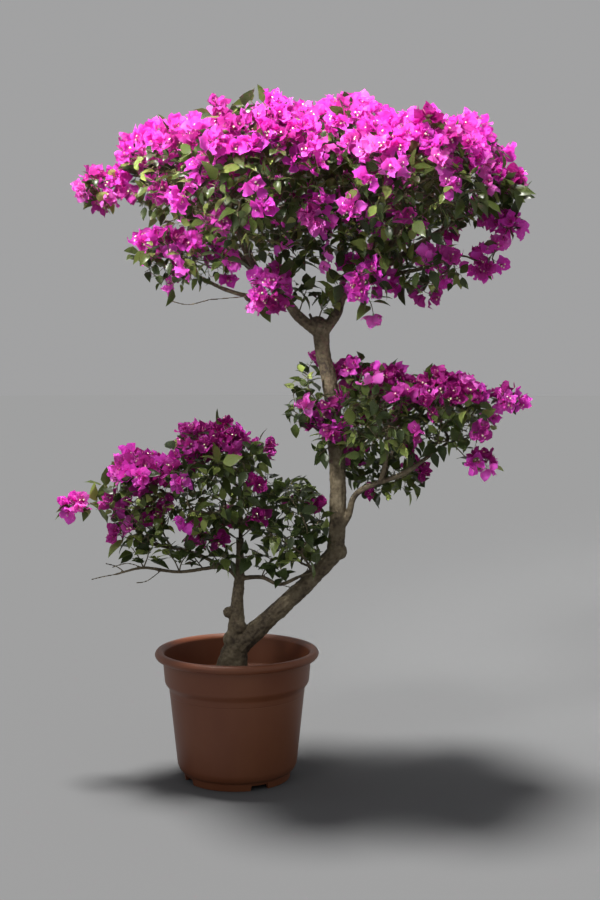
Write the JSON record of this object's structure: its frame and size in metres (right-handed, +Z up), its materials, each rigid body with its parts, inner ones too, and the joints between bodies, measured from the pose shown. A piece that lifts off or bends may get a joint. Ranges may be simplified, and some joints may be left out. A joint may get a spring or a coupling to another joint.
{
  "type": "potted bougainvillea tree",
  "caption": "Bougainvillea trained like a small tree: a leaning trunk in a round tapered pot carries a broad pink crown above two lower tiers of bloom and leaves.",
  "frame": {"origin": "middle of the pot's underside, on the level that the pot stands on", "axes": "+Z up along the pot's axis, +X to the right and -Y towards the viewer in the front view"},
  "size_m": [1.1554, 0.8275, 1.6677],
  "materials": {
    "pot": "satin",
    "soil": "matte",
    "bark": "matte",
    "foliage": "satin"
  },
  "bodies": {
    "root": {"pot": "pot", "soil": "soil", "trunk_lower": "bark", "trunk_upper": "bark", "stem_left": "bark", "bough_crown_left": "bark", "bough_crown_right": "bark", "bough_middle_outer": "bark", "bough_low_bare": "bark", "bough_low_right": "bark", "bough_crown_front_left": "bark", "bough_crown_back_left": "bark", "bough_crown_low_left": "bark", "bough_crown_front_right": "bark", "bough_crown_back_right": "bark", "bough_crown_centre": "bark", "bough_crown_low_right": "bark", "bough_middle_inner": "bark", "bough_middle_back": "bark", "bough_low_left": "bark", "foliage_crown_left": "foliage", "foliage_crown_front_left": "foliage", "foliage_crown_back_left": "foliage", "foliage_crown_low_left": "foliage", "foliage_crown_centre": "foliage", "foliage_crown_front_right": "foliage", "foliage_crown_back_right": "foliage", "foliage_crown_low_right": "foliage", "foliage_crown_right": "foliage", "foliage_middle_inner": "foliage", "foliage_middle_outer": "foliage", "foliage_middle_back": "foliage", "foliage_middle_left": "foliage", "foliage_low_left": "foliage", "foliage_low_centre": "foliage", "foliage_low_right": "foliage"}
  },
  "joints": []
}
